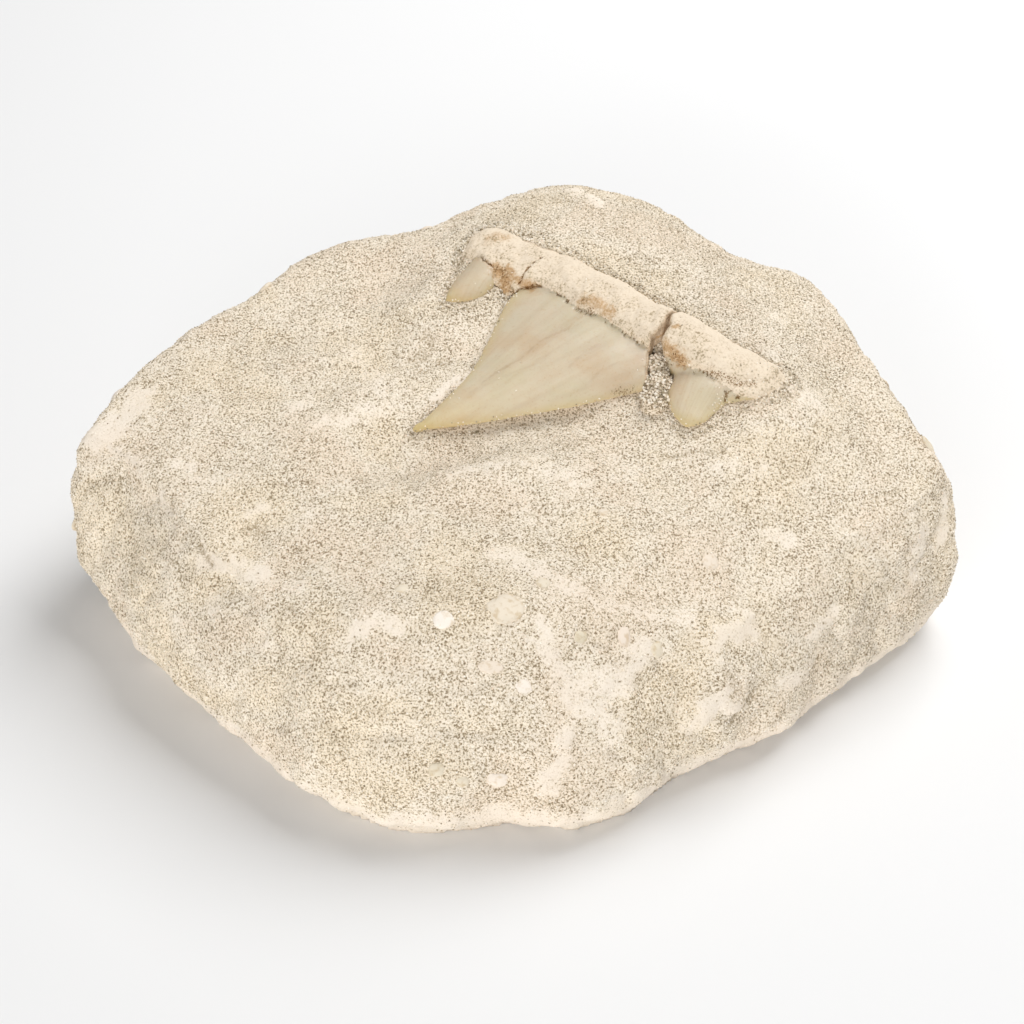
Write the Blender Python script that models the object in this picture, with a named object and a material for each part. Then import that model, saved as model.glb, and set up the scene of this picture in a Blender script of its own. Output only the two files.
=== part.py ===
"""A fossil shark tooth lying in the block of phosphate sand that it was found in.

The block is a broken lump with a flat underside to stand on. Its top slopes down towards the front,
with a higher shelf behind the root and a shallow hollow round the crown. The tooth lies in a pocket of
its own shape: a leaning main cusp, a cusplet at each side and a thick root. An old break has parted the
right root lobe, with its cusplet, from the rest.

Run with: blender --background --python part.py
"""

from bisect import bisect_right
from math import atan2, cos, exp, pi, radians, sin

import bmesh
import bpy
from mathutils import Euler, Matrix, Vector, noise

MM = 0.001

# The block in plan and height, in millimetres: x to the right, y to the back, z up from the underside.
RIM = [
    (60.2, -5.5, 25.5), (56.8, -3.8, 28.0), (52.0, 2.8, 30.5), (51.2, 9.0, 31.5), (47.0, 18.8, 33.0),
    (42.4, 28.6, 34.5), (32.6, 33.2, 35.5), (25.4, 39.4, 37.0), (17.6, 43.8, 38.5), (9.5, 47.4, 39.5),
    (0.5, 45.2, 39.0), (-7.5, 41.6, 38.0), (-14.5, 37.6, 37.0), (-23.0, 37.4, 36.0), (-31.0, 33.4, 35.0),
    (-37.6, 25.8, 34.0), (-45.6, 19.4, 32.5), (-53.0, 10.8, 31.0), (-60.4, -0.6, 28.0), (-48.0, -8.0, 27.5),
    (-40.0, -17.7, 26.5), (-31.0, -27.6, 24.5), (-19.0, -34.4, 27.0), (-8.0, -35.5, 28.5), (1.0, -34.2, 29.0),
    (7.5, -34.0, 27.5), (15.0, -34.6, 25.0), (28.5, -30.5, 21.5), (36.0, -22.6, 22.0), (44.0, -15.7, 24.0),
    (50.5, -12.5, 25.0),
]
HEM = [
    (61.0, -7.0), (57.0, 4.0), (52.0, 15.0), (44.0, 31.0), (24.0, 42.0), (10.0, 48.0), (-4.0, 43.5),
    (-27.0, 39.0), (-45.0, 24.0), (-57.0, 8.0), (-59.4, -3.0), (-53.0, -15.6), (-43.6, -25.2), (-36.0, -33.4),
    (-28.8, -40.0), (-22.0, -45.8), (-14.4, -49.2), (-6.6, -48.6), (0.5, -47.2), (7.8, -48.6), (15.0, -46.0),
    (21.0, -40.2), (27.8, -36.0), (35.8, -31.6), (43.4, -24.6), (54.0, -15.4),
]
HUB = Vector((8.0, 9.0))  # the rings of the block close in on this point, under the tooth
HEM_HEIGHT = 3.0
FOOT_INSET = 2.6  # the underside is this much smaller than the hem
BELLY = 3.2  # how far the sides stand out halfway up
SPOKES = 96
SIDE_RINGS = 6
UNDER_RINGS = (0.35, 0.7, 1.0)  # shares of the way from the hub to the foot
TOP_RINGS = (0.97, 0.93) + tuple(0.88 - 0.06 * k for k in range(14)) + (0.05,)  # the same, over the top
RIM_BLEND = (0.62, 1.03)  # between these rings the top passes over to the height of the rim

# The top, in the block's plan: a front field that rises slowly to the back, with a low swelling across it
# and a dip in the swelling, then a step up to the shelf behind the tooth's root.
FIELD_LEVEL = 31.0
FIELD_RISE = 0.075  # for each millimetre to the back
SWELLING = {"height": 1.5, "line": -12.0, "slant": 0.1, "width": 6.0, "starts": (-30.0, -10.0)}
DIP = {"depth": 1.2, "middle": (-12.0, -15.0), "reach": (14.0, 6.0)}
SHELF_LEVEL = 40.0
SHELF_MIDDLE = (8.0, 20.0)
SHELF_FALL = 0.0042  # for each square millimetre to the sides
SHELF_RISE = 0.1

# Where the step and the hollow lie, in the tooth's own frame.
STEP = (-2.5, 6.5)
STEP_FORWARD = 7.0  # the step comes this much nearer beside the right root lobe
STEP_TURN = (21.0, 33.0)
HOLLOW_REACH = 11.0  # the top dips towards the tooth from this far off
HOLLOW_BACK = (4.5, 1.0)
HOLLOW_DEPTH = 0.7  # below the crown's edge line
MOAT_DEPTH = 0.9  # more than that in front of the crown
MOAT_SIDES = ((-12.0, -4.0), (18.0, 8.0))
MOAT_FRONT = (-6.0, -14.0)

# The roughness of the block: size of the lumps, chips and ledges, and their height on the top and how
# much higher they are on the sides.
LUMPS = (17.0, 0.35, 1.3)
CHIPS = (6.0, 0.25, 0.8)
LEDGES = (13.0, 0.0, 2.8)
LEDGE_MIDDLE = 0.35
CALM_HEM = (-0.2, 0.4)  # the roughness fades towards the hem

# Hollows and swellings of the block: centre, radius and how far the surface moves out, in millimetres.
SCARS = [
    ((-34.0, -19.5, 27.0), 3.6, -2.0),
    ((-58.0, -9.0, 22.0), 8.0, -1.6),
    ((20.0, -40.0, 12.0), 8.0, -1.8),
    ((3.0, -43.0, 16.0), 6.0, 1.5),
    ((50.0, -21.0, 12.0), 8.0, -1.6),
    ((-20.0, -42.0, 14.0), 9.0, 1.0),
    ((-44.0, 27.0, 16.0), 11.0, -2.6),
    ((18.0, 45.0, 12.0), 12.0, -2.8),
    ((-14.0, 41.0, 22.0), 8.0, 1.8),
    ((52.0, 16.0, 10.0), 10.0, 1.4),
]

# The tooth's own frame: x along the root to the right lobe, y from the tip to the back of the root, z out of
# the crown's face. It lies in the block turned, dipping towards its tip.
SEAT = (9.3, 14.9, 37.0)
SEAT_TURN = (17.7, 2.6, -29.3)

# Sections of the crown and the cusplets, each from its left edge to its right edge, then the thickness above
# and below the edge line.
CROWN = [
    ((-9.0, 4.0), (13.5, 4.0), 1.1, 4.0),
    ((-10.2, 1.5), (16.6, 1.5), 1.3, 3.8),
    ((-10.8, -1.2), (17.6, -1.4), 1.8, 3.6),
    ((-10.6, -4.4), (16.9, -4.8), 2.1, 3.3),
    ((-10.1, -7.8), (14.3, -7.8), 2.1, 3.0),
    ((-9.6, -11.2), (10.2, -11.2), 1.9, 2.7),
    ((-9.4, -14.6), (6.0, -14.6), 1.7, 2.3),
    ((-9.9, -18.0), (1.3, -18.0), 1.4, 1.9),
    ((-10.6, -21.2), (-3.0, -21.2), 1.1, 1.4),
    ((-11.1, -23.8), (-7.0, -23.8), 0.8, 0.9),
    ((-11.5, -25.6), (-10.0, -25.6), 0.5, 0.5),
]
CROWN_TIP = (-11.6, -26.5)
LEFT_CUSPLET = [
    ((-18.4, 5.6), (-12.8, 4.6), 0.9, 3.0),
    ((-18.9, 2.2), (-13.4, 1.0), 1.3, 2.6),
    ((-19.4, -1.0), (-14.0, -2.0), 1.3, 2.0),
    ((-19.4, -3.5), (-15.8, -4.0), 0.9, 1.2),
]
LEFT_CUSPLET_TIP = (-18.8, -5.3)
RIGHT_CUSPLET = [
    ((14.5, 3.0), (29.0, 3.0), 1.2, 3.2),
    ((15.8, -0.8), (28.9, -0.8), 1.4, 3.0),
    ((16.3, -3.0), (28.0, -3.0), 1.6, 2.8),
    ((16.6, -4.8), (25.4, -4.8), 1.7, 2.5),
    ((17.0, -7.2), (24.6, -6.8), 1.4, 2.0),
    ((18.9, -9.6), (23.9, -9.2), 0.9, 1.2),
]
RIGHT_CUSPLET_TIP = (21.8, -11.1)
EDGE_POINTS = 10  # across each face of a section
FACE_FULLNESS = 2.6  # a higher number makes the face flatter with rounder edges
BACK_FULLNESS = 2.0

# The middle lines of the crown and the cusplets from tip to base, with half their width at the base.
CUSP_LINES = [
    (CROWN_TIP, (4.0, 0.0), 8.0, True),  # narrows towards its tip
    (LEFT_CUSPLET_TIP, (-15.0, 4.0), 2.0, False),
    (RIGHT_CUSPLET_TIP, (22.5, 2.0), 4.0, False),
]

# Sections of the root: x of the section, y and z of its crest, half its depth and half its height.
ROOT = [
    (-21.4, 6.8, -1.8, 2.0, 3.0), (-20.9, 7.4, 0.1, 3.6, 4.6), (-19.0, 8.0, 0.8, 4.6, 5.4),
    (-15.6, 7.6, 1.1, 5.4, 5.8), (-11.9, 6.6, 1.3, 6.3, 5.9), (-7.2, 6.7, 1.7, 5.4, 6.0),
    (-2.4, 5.6, 2.0, 5.2, 6.0), (2.4, 4.5, 2.6, 5.1, 6.0), (7.2, 3.7, 3.0, 4.9, 6.0),
    (12.0, 2.9, 3.5, 4.7, 6.0), (16.4, 2.4, 3.8, 4.4, 5.9), (20.6, 2.0, 3.2, 4.3, 5.7),
    (24.7, 1.8, 2.1, 4.1, 5.3), (28.1, 2.4, 0.7, 3.6, 4.5), (30.4, 2.8, -0.8, 2.6, 3.3),
    (31.4, 3.0, -2.2, 1.3, 1.8),
]
CREST_SET_BACK = 1.5  # the crest lies this far behind the middle of a section
ROOT_POINTS = 20
ROUNDNESS = 2.3
KNOBS = ((3.2, 0.35), (7.0, 0.4))  # size and height of the root's uneven places
BETWEEN = 2  # rings for each step from one section to the next

# The break that parts the right root lobe, from behind the root to in front of the crown: its left and
# right faces, in the tooth's frame.
BREAK_LEFT = [
    (13.2, 14.0), (12.9, 6.0), (12.1, 3.2), (12.6, 1.4),
    (11.4, -0.6), (12.6, -3.4), (14.2, -7.4), (15.0, -16.0),
]
BREAK_RIGHT = [
    (13.9, 14.0), (13.7, 6.0), (13.1, 3.0), (13.9, 1.4),
    (13.6, -0.8), (15.4, -3.4), (16.9, -7.4), (17.6, -16.0),
]
BREAK_REACH = 40.0
BREAK_FOOT = (0.6, 0.0, -20.0)  # the break leans a little
BREAK_HEAD = (-0.3, 0.0, 12.0)

CLEARANCE = 0.34  # between the tooth and the walls of its pocket


def clear_scene():
    for obj in list(bpy.data.objects):
        bpy.data.objects.remove(obj, do_unlink=True)


def stone_material(name, colour, roughness):
    material = bpy.data.materials.new(name)
    material.use_nodes = True
    shader = material.node_tree.nodes["Principled BSDF"]
    shader.inputs["Base Color"].default_value = (*colour, 1.0)
    shader.inputs["Roughness"].default_value = roughness
    shader.inputs["Metallic"].default_value = 0.0
    return material


def closed_mesh(name, shape):
    """A mesh in metres from a closed shape in millimetres, with its faces pointing out."""
    bmesh.ops.triangulate(shape, faces=shape.faces[:])
    bmesh.ops.recalc_face_normals(shape, faces=shape.faces[:])
    bmesh.ops.scale(shape, vec=(MM, MM, MM), verts=shape.verts[:])
    mesh = bpy.data.meshes.new(name)
    shape.to_mesh(mesh)
    shape.free()
    return mesh


def new_object(name, mesh, material=None):
    obj = bpy.data.objects.new(name, mesh)
    bpy.context.scene.collection.objects.link(obj)
    if material:
        mesh.materials.append(material)
    return obj


def smoothstep(start, end, value):
    """A smooth rise from 0 at start to 1 at end, which may lie below start."""
    t = min(1.0, max(0.0, (value - start) / (end - start)))
    return t * t * (3.0 - 2.0 * t)


def around_hub(outline):
    """The outline's points with their angles about the hub, in order and closed past a full turn."""
    points = sorted((atan2(p[1] - HUB.y, p[0] - HUB.x) % (2 * pi), p) for p in outline)
    first_angle, first = points[0]
    last_angle, last = points[-1]
    return [(last_angle - 2 * pi, last)] + points + [(first_angle + 2 * pi, first)]


def on_outline(points, angle):
    """Where the spoke at this angle crosses the outline, with the height there if it has one."""
    step = bisect_right([p[0] for p in points], angle) - 1
    start, end = points[step][1], points[step + 1][1]
    across, along = sin(angle), cos(angle)
    from_start = (start[0] - HUB.x) * across - (start[1] - HUB.y) * along
    from_end = (end[0] - HUB.x) * across - (end[1] - HUB.y) * along
    share = from_start / (from_start - from_end)
    return [a + (b - a) * share for a, b in zip(start, end)]


def tooth_plane(x, y):
    """Height of the crown's edge line, as if it went on across the block."""
    out = seat_matrix().to_3x3() @ Vector((0.0, 0.0, 1.0))
    return SEAT[2] - (out.x * (x - SEAT[0]) + out.y * (y - SEAT[1])) / out.z


def seat_matrix():
    turn = Euler([radians(a) for a in SEAT_TURN]).to_matrix().to_4x4()
    return Matrix.Translation(SEAT) @ turn


def distance_to(start, end, x, y):
    """How far a point is from a line between two places, and how far along the line it is nearest."""
    line = Vector((end[0] - start[0], end[1] - start[1]))
    to_point = Vector((x - start[0], y - start[1]))
    share = min(1.0, max(0.0, to_point.dot(line) / line.length_squared))
    return (to_point - line * share).length, share


def beyond_tooth(x, y):
    """How far a place in the tooth's frame lies outside the crown and the cusplets."""
    distances = []
    for tip, base, half_width, narrows in CUSP_LINES:
        away, share = distance_to(tip, base, x, y)
        distances.append(away - half_width * (share if narrows else 1.0))
    return min(distances)


def front_field(x, y):
    """Height of the top in front of the tooth and beside it."""
    from_line = (y - SWELLING["line"] - SWELLING["slant"] * x) / SWELLING["width"]
    swelling = SWELLING["height"] * exp(-(from_line ** 2)) * smoothstep(*SWELLING["starts"], x)
    from_dip = [(a - b) / c for a, b, c in zip((x, y), DIP["middle"], DIP["reach"])]
    dip = DIP["depth"] * exp(-(from_dip[0] ** 2 + from_dip[1] ** 2))
    return FIELD_LEVEL + FIELD_RISE * y + swelling - dip


def back_shelf(x, y):
    """Height of the top behind the tooth."""
    return SHELF_LEVEL - SHELF_FALL * (x - SHELF_MIDDLE[0]) ** 2 + SHELF_RISE * (y - SHELF_MIDDLE[1])


def top_height(x, y):
    """Height of the block's top, inside its rim."""
    place = seat_matrix().inverted() @ Vector((x, y, SEAT[2]))
    forward = STEP_FORWARD * smoothstep(*STEP_TURN, place.x)
    behind = smoothstep(STEP[0] - forward, STEP[1] - forward, place.y)
    field = front_field(x, y)
    height = field + (back_shelf(x, y) - field) * behind
    moat = smoothstep(*MOAT_SIDES[0], place.x) * smoothstep(*MOAT_SIDES[1], place.x)
    moat *= MOAT_DEPTH * smoothstep(*MOAT_FRONT, place.y)
    bank = tooth_plane(x, y) - HOLLOW_DEPTH - moat
    near = smoothstep(HOLLOW_REACH, 1.0, beyond_tooth(place.x, place.y))
    return height + (bank - height) * near * smoothstep(*HOLLOW_BACK, place.y)


def relief(point, side):
    """How far a point of the block moves outwards: lumps, chips, broken ledges and scars."""
    lumps = noise.fractal(point / LUMPS[0], 0.9, 2.1, 3) * (LUMPS[1] + LUMPS[2] * side)
    chips = noise.noise(point / CHIPS[0]) * (CHIPS[1] + CHIPS[2] * side)
    nearest = noise.voronoi(point / LEDGES[0])[0][0]
    ledges = (nearest - LEDGE_MIDDLE) * (LEDGES[1] + LEDGES[2] * side)
    scars = 0.0
    for centre, radius, move in SCARS:
        distance = (point - Vector(centre)).length / radius
        scars += move * exp(-distance * distance)
    return lumps + chips + ledges + scars


def block_rings():
    """The block's rings of points from the middle of the underside, up the sides and over the top."""
    rim, hem = around_hub(RIM), around_hub(HEM)
    angles = [2 * pi * k / SPOKES for k in range(SPOKES)]
    rings = [[] for _ in range(len(UNDER_RINGS) + SIDE_RINGS + 1 + len(TOP_RINGS))]
    for angle in angles:
        outward = Vector((cos(angle), sin(angle), 0.0))
        hem_point = Vector((*on_outline(hem, angle), HEM_HEIGHT))
        rim_point = Vector(on_outline(rim, angle))
        foot = hem_point - outward * FOOT_INSET
        column = []
        for share in UNDER_RINGS:
            column.append(Vector((*HUB.lerp(foot.xy, share), 0.0)))
        for k in range(SIDE_RINGS + 1):
            t = k / SIDE_RINGS
            point = hem_point.lerp(rim_point, t) + outward * BELLY * sin(pi * t) ** 0.8
            move = relief(point, 1.0) * smoothstep(*CALM_HEM, t)
            column.append(point + outward * move)
        for share in TOP_RINGS:
            x, y = HUB.lerp(rim_point.xy, share)
            near_rim = smoothstep(*RIM_BLEND, share)
            z = top_height(x, y) * (1.0 - near_rim) + rim_point.z * near_rim
            move = relief(Vector((x, y, z)), 0.0)
            column.append(Vector((x, y, z + move)))
        for ring, point in zip(rings, column):
            ring.append(point)
    return rings


def block_mesh():
    shape = bmesh.new()
    rings = [[shape.verts.new(point) for point in ring] for ring in block_rings()]
    under = shape.verts.new((HUB.x, HUB.y, 0.0))
    top = shape.verts.new((HUB.x, HUB.y, top_height(HUB.x, HUB.y)))
    for k in range(SPOKES):
        after = (k + 1) % SPOKES
        shape.faces.new((under, rings[0][after], rings[0][k]))
        shape.faces.new((top, rings[-1][k], rings[-1][after]))
        for lower, upper in zip(rings, rings[1:]):
            shape.faces.new((lower[k], lower[after], upper[after], upper[k]))
    soften_edges(shape, rings)
    return closed_mesh("matrix_block", shape)


def soften_edges(shape, rings):
    """Takes the sharpness off the hem and the rim, leaving the underside flat."""
    worn = [vert for ring in rings[len(UNDER_RINGS):] for vert in ring]
    bmesh.ops.smooth_vert(shape, verts=worn, factor=0.4, use_axis_x=True, use_axis_y=True, use_axis_z=True)


def skin(name, sections, first, last):
    """A closed mesh over rings of points, with a point or a cap at each end."""
    shape = bmesh.new()
    rings = [[shape.verts.new(p) for p in section] for section in sections]
    for lower, upper in zip(rings, rings[1:]):
        count = len(lower)
        for k in range(count):
            shape.faces.new((lower[k], lower[(k + 1) % count], upper[(k + 1) % count], upper[k]))
    for ring, end in ((rings[0], first), (rings[-1], last)):
        if end is None:
            shape.faces.new(ring)
        else:
            point = shape.verts.new(end)
            for k in range(len(ring)):
                shape.faces.new((ring[k], ring[(k + 1) % len(ring)], point))
    return closed_mesh(name, shape)


def curve_through(values, position):
    """A smooth value at a place between the numbered values, by a Catmull-Rom curve."""
    step = min(int(position), len(values) - 2)
    t = position - step
    before = values[max(step - 1, 0)]
    start, end = values[step], values[step + 1]
    after = values[min(step + 2, len(values) - 1)]
    out = []
    for a, b, c, d in zip(before, start, end, after):
        bend = (2 * a - 5 * b + 4 * c - d) * t * t + (3 * b - 3 * c + d - a) * t * t * t
        out.append(b + 0.5 * ((c - a) * t + bend))
    return out


def blade_mesh(name, outline, tip, grow):
    """A cusp: lens-shaped sections from the base to the tip, made larger all round by grow."""
    rows = [(*left, *right, above, below) for left, right, above, below in outline]
    sections = []
    for k in range((len(rows) - 1) * BETWEEN + 1):
        left_x, left_y, right_x, right_y, above, below = curve_through(rows, k / BETWEEN)
        left, right = Vector((left_x, left_y, 0.0)), Vector((right_x, right_y, 0.0))
        across = (right - left).normalized()
        left, right = left - across * grow, right + across * grow
        section = []
        for i in range(2 * EDGE_POINTS):
            share = cos(pi * i / EDGE_POINTS)
            middle = left.lerp(right, 0.5 + 0.5 * share)
            upper = i < EDGE_POINTS
            fullness = 1.0 - abs(share) ** (FACE_FULLNESS if upper else BACK_FULLNESS)
            height = (above + grow) * fullness if upper else -(below + grow) * fullness
            section.append(middle + Vector((0.0, 0.0, height)))
        sections.append(section)
    start = sections[0]
    pull = (Vector((*outline[1][0], 0.0)) - Vector((*outline[0][0], 0.0))).normalized() * grow
    sections[0] = [p - pull for p in start]
    direction = (Vector((*tip, 0.0)) - sum(sections[-1], Vector()) / len(sections[-1])).normalized()
    return skin(name, sections, None, Vector((*tip, 0.0)) + direction * grow)


def root_mesh(name, grow):
    sections = []
    for k in range((len(ROOT) - 1) * BETWEEN + 1):
        along, crest_y, crest_z, deep, high = curve_through(ROOT, k / BETWEEN)
        centre = Vector((along, crest_y - CREST_SET_BACK, crest_z - high))
        section = []
        for i in range(ROOT_POINTS):
            angle = 2 * pi * i / ROOT_POINTS
            c, s = cos(angle), sin(angle)
            y = (deep + grow) * abs(c) ** (2 / ROUNDNESS) * (1 if c > 0 else -1)
            z = (high + grow) * abs(s) ** (2 / ROUNDNESS) * (1 if s > 0 else -1)
            point = centre + Vector((0.0, y, z))
            knobs = sum(noise.noise(point / size) * knob_height for size, knob_height in KNOBS)
            section.append(point + Vector((0.0, y, z)).normalized() * knobs)
        sections.append(section)
    ends = Vector((grow, 0.0, 0.0))
    sections[0] = [p - ends for p in sections[0]]
    sections[-1] = [p + ends for p in sections[-1]]
    return skin(name, sections, None, None)


def break_mesh(name, face, reach):
    """A slab with the jagged face of the break on one side, reaching past the tooth on the other."""
    outline = [Vector((x, y, 0.0)) for x, y in face]
    outline += [Vector((reach, face[-1][1], 0.0)), Vector((reach, face[0][1], 0.0))]
    down, up = Vector(BREAK_FOOT), Vector(BREAK_HEAD)
    return skin(name, [[p + down for p in outline], [p + up for p in outline]], None, None)


def boolean(obj, operation, other):
    modifier = obj.modifiers.new(f"{operation.lower()} {other.name}", "BOOLEAN")
    modifier.operation = operation
    modifier.solver = "EXACT"
    modifier.object = other


def helper(name, mesh, parent=None):
    """A shape that only cuts or joins another one."""
    obj = new_object(name, mesh)
    obj.parent = parent
    obj.hide_render = True
    obj.display_type = "WIRE"
    return obj


def tooth_forms(prefix, grow, seat):
    """The tooth's four grown forms as helpers: root, crown, left cusplet and right cusplet."""
    meshes = {
        "root": root_mesh(f"{prefix}_root", grow),
        "crown": blade_mesh(f"{prefix}_crown", CROWN, CROWN_TIP, grow),
        "left_cusplet": blade_mesh(f"{prefix}_left_cusplet", LEFT_CUSPLET, LEFT_CUSPLET_TIP, grow),
        "right_cusplet": blade_mesh(f"{prefix}_right_cusplet", RIGHT_CUSPLET, RIGHT_CUSPLET_TIP, grow),
    }
    return {form: helper(mesh.name, mesh, seat) for form, mesh in meshes.items()}


def fragment(name, forms, cutter, seat, material):
    """The grown forms in one body, less what lies beyond one face of the break."""
    obj = new_object(name, forms[0].data.copy(), material)
    obj.parent = seat
    for form in forms[1:]:
        boolean(obj, "UNION", form)
    boolean(obj, "DIFFERENCE", cutter)
    return obj


def centre_on_box(objects, block):
    """Moves everything so that the block stands on its middle."""
    xs = [v.co.x for v in block.data.vertices]
    ys = [v.co.y for v in block.data.vertices]
    shift = Vector((-(min(xs) + max(xs)) / 2, -(min(ys) + max(ys)) / 2, 0.0))
    for obj in objects:
        obj.location += shift


def main():
    clear_scene()
    sand = stone_material("phosphate_sand", (0.76, 0.66, 0.52), 0.95)
    fossil = stone_material("fossil_tooth", (0.70, 0.60, 0.43), 0.4)

    seat = bpy.data.objects.new("tooth_seat", None)
    bpy.context.scene.collection.objects.link(seat)
    seat.location = Vector(SEAT) * MM
    seat.rotation_euler = [radians(a) for a in SEAT_TURN]

    forms = tooth_forms("form", 0.0, seat)
    beyond = helper("beyond_break", break_mesh("beyond_break", BREAK_LEFT, BREAK_REACH), seat)
    before = helper("before_break", break_mesh("before_break", BREAK_RIGHT, -BREAK_REACH), seat)
    left_side = [forms["root"], forms["crown"], forms["left_cusplet"]]
    fragment("tooth", left_side, beyond, seat, fossil)
    fragment("broken_root_lobe", [forms["root"], forms["right_cusplet"]], before, seat, fossil)

    block = new_object("matrix_block", block_mesh(), sand)
    for form in tooth_forms("pocket", CLEARANCE, seat).values():
        boolean(block, "DIFFERENCE", form)
    centre_on_box([block, seat], block)


main()
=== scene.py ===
import random
import bmesh
import bpy
import numpy as np
from math import cos, pi, radians, sin
from mathutils import Euler, Matrix, Vector, noise
from mathutils.bvhtree import BVHTree


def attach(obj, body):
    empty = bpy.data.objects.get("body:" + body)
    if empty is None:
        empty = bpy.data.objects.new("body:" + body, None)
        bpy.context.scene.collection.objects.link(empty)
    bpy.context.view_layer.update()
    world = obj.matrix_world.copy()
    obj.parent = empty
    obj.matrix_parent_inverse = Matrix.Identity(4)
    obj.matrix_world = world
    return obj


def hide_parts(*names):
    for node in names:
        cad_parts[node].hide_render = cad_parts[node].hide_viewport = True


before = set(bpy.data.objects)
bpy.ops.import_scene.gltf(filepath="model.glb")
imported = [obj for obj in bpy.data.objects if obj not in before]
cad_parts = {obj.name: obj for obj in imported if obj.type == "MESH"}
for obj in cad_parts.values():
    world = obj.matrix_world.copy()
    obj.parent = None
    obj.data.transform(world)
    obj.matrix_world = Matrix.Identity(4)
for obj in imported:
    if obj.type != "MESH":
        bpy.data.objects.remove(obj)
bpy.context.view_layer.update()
mm = 0.001

# The tooth lies in the block with its own axes: x along the root, y from the tip back, z out of its face.
toothSeat = {
    "place": (9.4, 13.7, 37.0),  # mm
    "turn": (17.7, 2.6, -29.3),  # degrees
}
seatTurn = Euler([radians(a) for a in toothSeat["turn"]]).to_matrix().to_4x4()
seatMatrix = Matrix.Translation(Vector(toothSeat["place"]) * mm) @ seatTurn
seatInverse = seatMatrix.inverted()


# Small helpers

def hexColour(code, alpha=1.0):
    values = [int(code[i:i + 2], 16) / 255 for i in (1, 3, 5)]
    linear = [v / 12.92 if v <= 0.04045 else ((v + 0.055) / 1.055) ** 2.4 for v in values]
    return (*linear, alpha)


def smoothRise(start, end, value):
    # 0 at start, 1 at end; value may be one number or many
    t = np.clip((value - start) / (end - start), 0.0, 1.0)
    return t * t * (3.0 - 2.0 * t)


def addNode(tree, kind, settings=None, links=None):
    # settings go to the node's own properties or, by name or number, to its inputs; stops fill a colour ramp
    node = tree.nodes.new(kind)
    for key, value in (settings or {}).items():
        if key == "stops":
            for index, (place, colour) in enumerate(value):
                elements = node.color_ramp.elements
                element = elements[index] if index < 2 else elements.new(place)
                element.position = place
                element.color = hexColour(colour)
        elif isinstance(key, str) and hasattr(node, key):
            setattr(node, key, value)
        else:
            coloured = isinstance(value, str) and value.startswith("#")
            node.inputs[key].default_value = hexColour(value) if coloured else value
    for key, source in (links or {}).items():
        tree.links.new(source, node.inputs[key])
    return node


def newObject(name, mesh, *materials):
    obj = bpy.data.objects.new(name, mesh)
    bpy.context.scene.collection.objects.link(obj)
    for material in materials:
        mesh.materials.append(material)
    return obj


def meshOf(shape, name):
    mesh = bpy.data.meshes.new(name)
    shape.to_mesh(mesh)
    shape.free()
    return mesh


def skinTree(mesh):
    shape = bmesh.new()
    shape.from_mesh(mesh)
    tree = BVHTree.FromBMesh(shape)
    shape.free()
    return tree


def evaluatedMesh(obj):
    graph = bpy.context.evaluated_depsgraph_get()
    graph.update()
    return bpy.data.meshes.new_from_object(obj.evaluated_get(graph))


def remeshed(shape, voxel):
    # a closed skin of even small faces over the shape
    obj = newObject("rough", meshOf(shape, "rough"))
    modifier = obj.modifiers.new("skin", "REMESH")
    modifier.mode = "VOXEL"
    modifier.voxel_size = voxel
    skin = evaluatedMesh(obj)
    rough = obj.data
    bpy.data.objects.remove(obj)
    bpy.data.meshes.remove(rough)
    return skin


def mergedCopy(node):
    shape = bmesh.new()
    shape.from_mesh(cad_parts[node].data)
    bmesh.ops.remove_doubles(shape, verts=shape.verts[:], dist=0.00001)
    return shape


def readPoints(mesh, field="co"):
    values = np.empty(len(mesh.vertices) * 3, np.float32)
    mesh.vertices.foreach_get(field, values)
    return values.reshape(-1, 3).astype(float)


def writePoints(mesh, points):
    mesh.vertices.foreach_set("co", points.astype(np.float32).ravel())
    mesh.update()


def giveAttribute(mesh, name, values):
    # one number or one vector for each point of the mesh
    kind, field = ("FLOAT", "value") if values.ndim == 1 else ("FLOAT_VECTOR", "vector")
    mesh.attributes.new(name, kind, "POINT").data.foreach_set(field, values.astype(np.float32).ravel())


def relaxed(mesh, rounds):
    # moves every point towards the middle of its neighbours
    points = readPoints(mesh)
    edges = np.empty(len(mesh.edges) * 2, np.int32)
    mesh.edges.foreach_get("vertices", edges)
    edges = edges.reshape(-1, 2)
    count = np.bincount(edges.ravel(), minlength=len(points))[:, None]
    for _ in range(rounds):
        total = np.zeros_like(points)
        np.add.at(total, edges[:, 0], points[edges[:, 1]])
        np.add.at(total, edges[:, 1], points[edges[:, 0]])
        points += (total / np.maximum(count, 1) - points) * 0.5
    writePoints(mesh, points)


def lumpsAt(points, size, seed=0.0):
    # smooth noise of about -1 to 1, with lumps of this size in mm
    return np.array([noise.noise(Vector(p)) for p in points / (size * mm) + seed])


def raggedAt(points, size, octaves=4, seed=0.0):
    return np.array([noise.fractal(Vector(p), 0.8, 2.0, octaves) for p in points / (size * mm) + seed])


def awayFrom(points, chain):
    # mm from each point to a chain of places
    nearest = np.full(len(points), 1e9)
    for start, end in zip(chain, chain[1:]):
        line = np.array(end - start)
        offset = points - np.array(start)
        share = np.clip(offset @ line / max(line @ line, 1e-12), 0.0, 1.0)
        nearest = np.minimum(nearest, np.linalg.norm(offset - share[:, None] * line, axis=1) / mm)
    return nearest


# The camera stands where the photograph was taken from

cameraSetup = {
    "lookAt": (0.1, -8.2, 20.0),  # mm
    "elevation": 40.0,  # degrees
    "distance": 270.9,  # mm
    "lens": 70.0,
    "sensor": 36.0,
}
photoWidth = 1024


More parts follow.
